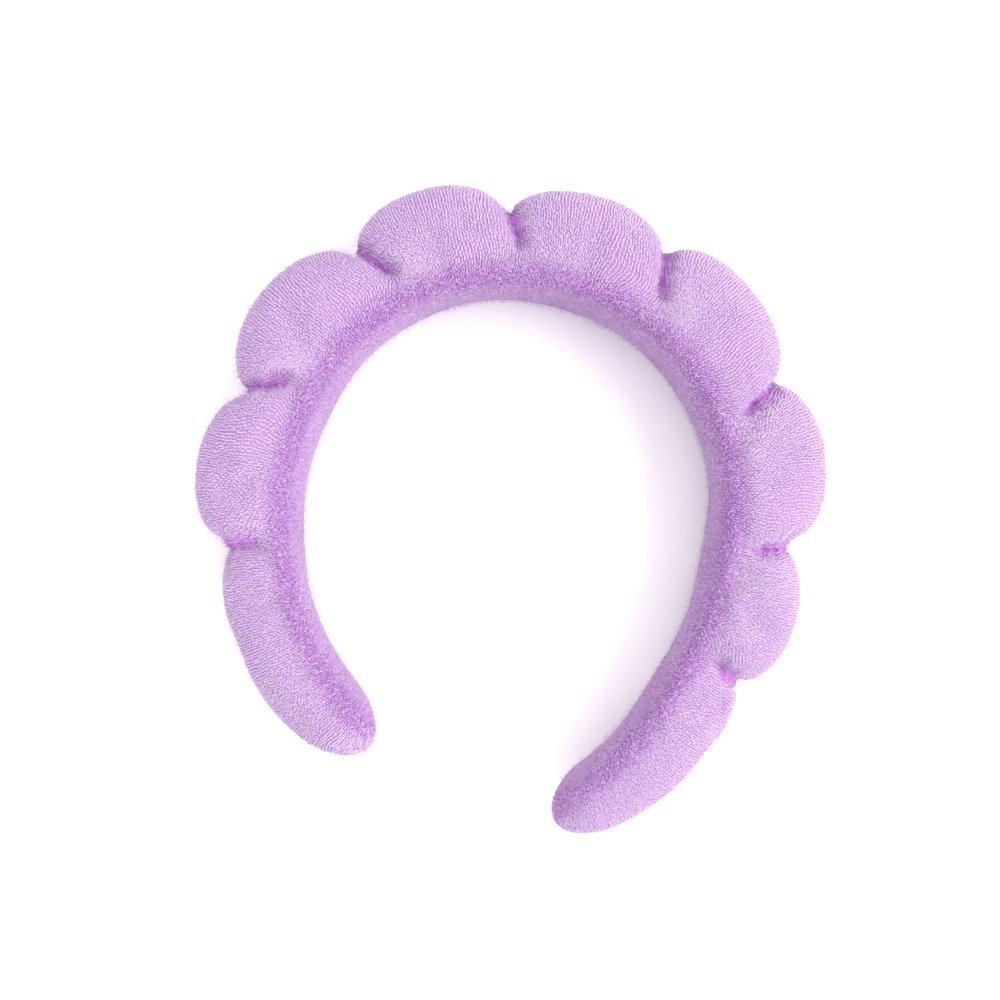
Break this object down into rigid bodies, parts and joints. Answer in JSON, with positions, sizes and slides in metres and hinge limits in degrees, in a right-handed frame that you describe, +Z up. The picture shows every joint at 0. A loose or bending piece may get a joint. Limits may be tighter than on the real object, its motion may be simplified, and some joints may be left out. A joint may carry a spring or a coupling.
{
  "type": "spa headband",
  "caption": "Puffy towelling headband: a springy open hoop with round gathered puffs over the head and smooth tapered tips, for keeping hair off the face.",
  "frame": {"origin": "on the table, at the middle of the bounding box, with the band lying on its side", "axes": "+Z up from the table and across the band, +Y towards the crown in the middle of the band, +X from the left tip's side to the right tip's"},
  "size_m": [0.2004, 0.2022, 0.0461],
  "materials": {
    "towelling": "looped terry pile, matte",
    "foam": "open-cell polyurethane foam",
    "hoop_plastic": "moulded, satin",
    "thread": "polyester sewing thread"
  },
  "bodies": {
    "crown": {"cover_crown": "towelling", "puff_crown": "foam", "hoop_crown": "hoop_plastic", "pad_crown": "foam", "gather_left_1": "thread", "gather_right_1": "thread"},
    "left_1": {"cover_left_1": "towelling", "puff_left_1": "foam", "hoop_left_1": "hoop_plastic", "pad_left_1": "foam", "gather_left_2": "thread"},
    "left_2": {"cover_left_2": "towelling", "puff_left_2": "foam", "hoop_left_2": "hoop_plastic", "pad_left_2": "foam", "gather_left_3": "thread"},
    "left_3": {"cover_left_3": "towelling", "puff_left_3": "foam", "hoop_left_3": "hoop_plastic", "pad_left_3": "foam", "gather_left_4": "thread"},
    "left_tip": {"cover_left_tip": "towelling", "puff_left_tip": "foam", "hoop_left_tip": "hoop_plastic", "pad_left_tip": "foam", "closing_stitch_left": "thread"},
    "right_1": {"cover_right_1": "towelling", "puff_right_1": "foam", "hoop_right_1": "hoop_plastic", "pad_right_1": "foam", "gather_right_2": "thread"},
    "right_2": {"cover_right_2": "towelling", "puff_right_2": "foam", "hoop_right_2": "hoop_plastic", "pad_right_2": "foam", "gather_right_3": "thread"},
    "right_3": {"cover_right_3": "towelling", "puff_right_3": "foam", "hoop_right_3": "hoop_plastic", "pad_right_3": "foam", "gather_right_4": "thread"},
    "right_tip": {"cover_right_tip": "towelling", "puff_right_tip": "foam", "hoop_right_tip": "hoop_plastic", "pad_right_tip": "foam", "closing_stitch_right": "thread"}
  },
  "joints": [
    {"name": "left_flex_1", "type": "hinge", "parent": "crown", "child": "left_1", "pos_m": [-0.0193, 0.06944, 0.0224], "axis": [0, 0, -1], "range_deg": [-2, 6], "stiffness_Nm_per_rad": 1.8},
    {"name": "left_flex_2", "type": "hinge", "parent": "left_1", "child": "left_2", "pos_m": [-0.05427, 0.04831, 0.0224], "axis": [0, 0, -1], "range_deg": [-1.8, 5.32], "stiffness_Nm_per_rad": 1.8},
    {"name": "left_flex_3", "type": "hinge", "parent": "left_2", "child": "left_3", "pos_m": [-0.07277, 0.00775, 0.0224], "axis": [0, 0, -1], "range_deg": [-1.14, 3.34], "stiffness_Nm_per_rad": 1.8},
    {"name": "left_flex_4", "type": "hinge", "parent": "left_3", "child": "left_tip", "pos_m": [-0.0688, -0.03397, 0.0224], "axis": [0, 0, -1], "range_deg": [-0.7, 2.02], "stiffness_Nm_per_rad": 1.8},
    {"name": "right_flex_1", "type": "hinge", "parent": "crown", "child": "right_1", "pos_m": [0.02062, 0.06884, 0.0224], "axis": [0, 0, 1], "range_deg": [-2, 6], "stiffness_Nm_per_rad": 1.8},
    {"name": "right_flex_2", "type": "hinge", "parent": "right_1", "child": "right_2", "pos_m": [0.05632, 0.04502, 0.0224], "axis": [0, 0, 1], "range_deg": [-1.8, 5.32], "stiffness_Nm_per_rad": 1.8},
    {"name": "right_flex_3", "type": "hinge", "parent": "right_2", "child": "right_3", "pos_m": [0.0724, 0.00532, 0.0224], "axis": [0, 0, 1], "range_deg": [-1.14, 3.34], "stiffness_Nm_per_rad": 1.8},
    {"name": "right_flex_4", "type": "hinge", "parent": "right_3", "child": "right_tip", "pos_m": [0.07078, -0.03652, 0.0224], "axis": [0, 0, 1], "range_deg": [-0.7, 2.02], "stiffness_Nm_per_rad": 1.8}
  ],
  "couplings": [
    {"joint": "left_flex_2", "follows": "left_flex_1", "ratio": 0.88},
    {"joint": "left_flex_3", "follows": "left_flex_1", "ratio": 0.55},
    {"joint": "left_flex_4", "follows": "left_flex_1", "ratio": 0.33},
    {"joint": "right_flex_2", "follows": "right_flex_1", "ratio": 0.88},
    {"joint": "right_flex_3", "follows": "right_flex_1", "ratio": 0.55},
    {"joint": "right_flex_4", "follows": "right_flex_1", "ratio": 0.33}
  ]
}
